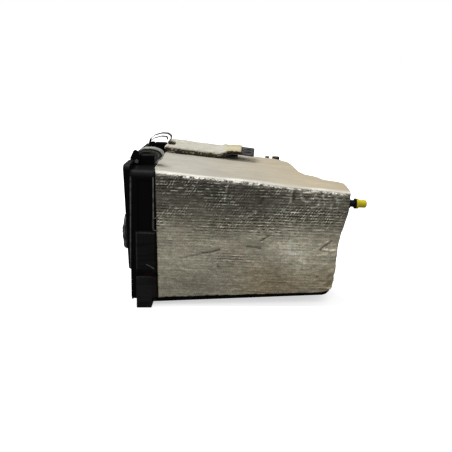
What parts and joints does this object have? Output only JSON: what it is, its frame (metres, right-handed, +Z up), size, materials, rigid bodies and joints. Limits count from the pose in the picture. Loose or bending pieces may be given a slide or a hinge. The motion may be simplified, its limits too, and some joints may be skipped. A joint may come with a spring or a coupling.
{
  "type": "airbox",
  "caption": "Engine air filter housing: a tapered moulded box under a foil heat shield, with a clipped domed cover, an oval inlet and a round outlet.",
  "frame": {"origin": "middle of the near foot's underside, on the plane that the part stands on", "axes": "+X from the cover towards the nose, +Y from the near side towards the outlet, +Z up"},
  "size_m": [0.3926, 0.3558, 0.2525],
  "materials": {
    "black_plastic": "fine moulded grain",
    "cover_plastic": "satin moulded",
    "duct_plastic": "satin moulded",
    "sensor_plastic": "satin moulded",
    "nipple_plastic": "satin",
    "cap_plastic": "soft satin",
    "foil_cloth": "aluminised woven cloth, dull metallic",
    "pad_cloth": "aluminised cloth over felt",
    "filter_paper": "matte pleated paper",
    "seal_rubber": "matte",
    "grey_rubber": "matte, dusty",
    "bush_rubber": "matte",
    "spring_steel": "bright rolled",
    "leaf_steel": "bright rolled",
    "pin_steel": "zinc plated",
    "screw_steel": "zinc plated",
    "wire_steel": "drawn wire",
    "bracket_paint": "black coated sheet"
  },
  "bodies": {
    "airbox": {"housing": "black_plastic", "heat_shield": "foil_cloth", "filter_seal": "seal_rubber", "filter_pleats": "filter_paper", "lid": "cover_plastic", "inlet_boot": "grey_rubber", "near_clip_pin": "pin_steel", "far_clip_pin": "pin_steel", "outlet_gasket": "seal_rubber", "outlet_tube": "duct_plastic", "outlet_screws": "screw_steel", "airflow_sensor": "sensor_plastic", "sensor_screws": "screw_steel", "nipple_washer": "screw_steel", "hose_nipple": "nipple_plastic", "nipple_cap": "cap_plastic", "arm": "bracket_paint", "arm_screws": "screw_steel", "arm_pad": "pad_cloth", "peg_bush": "bush_rubber", "lug_grommet": "bush_rubber", "lug_sleeve": "pin_steel", "shield_hooks": "wire_steel"},
    "near_clip": {"near_clip_strap": "spring_steel", "near_clip_spring": "leaf_steel"},
    "far_clip": {"far_clip_strap": "spring_steel", "far_clip_spring": "leaf_steel"}
  },
  "joints": [
    {"name": "near_clip_hinge", "type": "hinge", "parent": "airbox", "child": "near_clip", "pos_m": [-0.00962, 0.052, 0.22624], "axis": [0, -1, 0], "range_deg": [0, 95]},
    {"name": "far_clip_hinge", "type": "hinge", "parent": "airbox", "child": "far_clip", "pos_m": [-0.00962, 0.21, 0.22624], "axis": [0, -1, 0], "range_deg": [-17, 78]}
  ]
}
